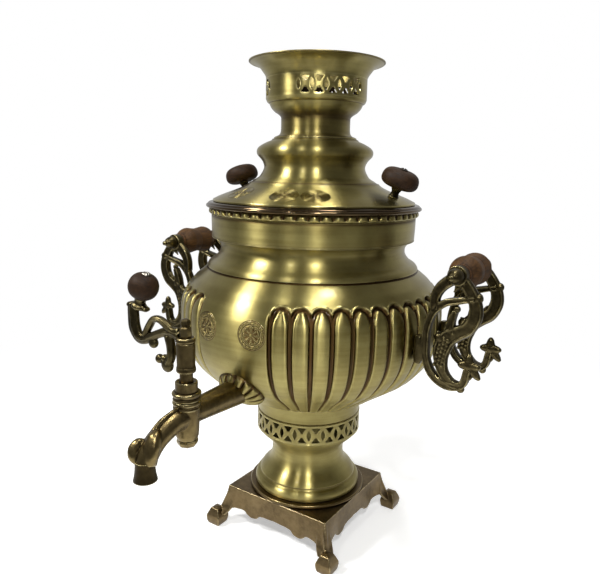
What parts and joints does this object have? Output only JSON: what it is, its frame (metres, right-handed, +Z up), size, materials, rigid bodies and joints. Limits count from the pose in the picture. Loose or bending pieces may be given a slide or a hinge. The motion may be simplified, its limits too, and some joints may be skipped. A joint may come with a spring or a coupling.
{
  "type": "charcoal samovar",
  "caption": "Brass charcoal samovar: ribbed belly on a pierced pedestal and footed square base, scrolled side handles, lift-off lid and crown, and a turning plug tap.",
  "frame": {"origin": "middle of the footprint's bounding box, on the surface the feet stand on", "axes": "+Z up, the tap points along -Y, the handles lie along X; the body's axis is 50.5 mm towards +Y"},
  "size_m": [0.3554, 0.3508, 0.45],
  "materials": {
    "body_brass": "antique satin",
    "base_bronze": "darkened satin",
    "tap_bronze": "darkened cast",
    "handle_bronze": "dark cast patina",
    "grip_wood": "worn oiled",
    "fastener_steel": "satin",
    "grate_iron": "heat darkened"
  },
  "bodies": {
    "stand": {"base_stand": "base_bronze", "foot_flange": "base_bronze", "foot_screw_1": "fastener_steel", "foot_screw_2": "fastener_steel", "foot_screw_3": "fastener_steel", "foot_screw_4": "fastener_steel", "foot_bell": "body_brass", "pedestal_band": "body_brass", "body_shell": "body_brass", "tank_floor": "body_brass", "fire_tube": "body_brass", "fire_grate": "grate_iron", "collar": "body_brass", "bead_ring": "body_brass", "top_ring": "base_bronze", "bracket_right_front": "handle_bronze", "handle_bolt_right_front": "fastener_steel", "acorn_nut_right_front": "handle_bronze", "bracket_right_rear": "handle_bronze", "handle_bolt_right_rear": "fastener_steel", "acorn_nut_right_rear": "handle_bronze", "bracket_left_front": "handle_bronze", "handle_bolt_left_front": "fastener_steel", "acorn_nut_left_front": "handle_bronze", "bracket_left_rear": "handle_bronze", "handle_bolt_left_rear": "fastener_steel", "acorn_nut_left_rear": "handle_bronze", "rod_right": "fastener_steel", "rod_left": "fastener_steel", "grip_right": "grip_wood", "grip_left": "grip_wood", "tap_shell": "body_brass", "tap_body": "tap_bronze", "tap_inner_nut": "body_brass"},
    "tap_key": {"tap_plug": "tap_bronze", "plug_nut": "tap_bronze", "tap_lever": "handle_bronze", "lever_nut": "tap_bronze", "lever_knob": "grip_wood", "lever_screw": "fastener_steel"},
    "lid": {"lid": "body_brass", "lid_stem_right": "handle_bronze", "lid_stem_left": "handle_bronze", "lid_knob_right": "grip_wood", "lid_knob_left": "grip_wood", "lid_screw_right": "fastener_steel", "lid_screw_left": "fastener_steel"},
    "crown": {"crown": "body_brass"}
  },
  "joints": [
    {"name": "tap_turn", "type": "hinge", "parent": "stand", "child": "tap_key", "pos_m": [0, -0.12095, 0.19], "axis": [0, 0, 1], "range_deg": [0, 180]},
    {"name": "lid_lift", "type": "slide", "parent": "stand", "child": "lid", "axis": [0, 0, 1], "range_m": [0, 0.12]},
    {"name": "crown_lift", "type": "slide", "parent": "lid", "child": "crown", "axis": [0, 0, 1], "range_m": [0, 0.06]}
  ]
}
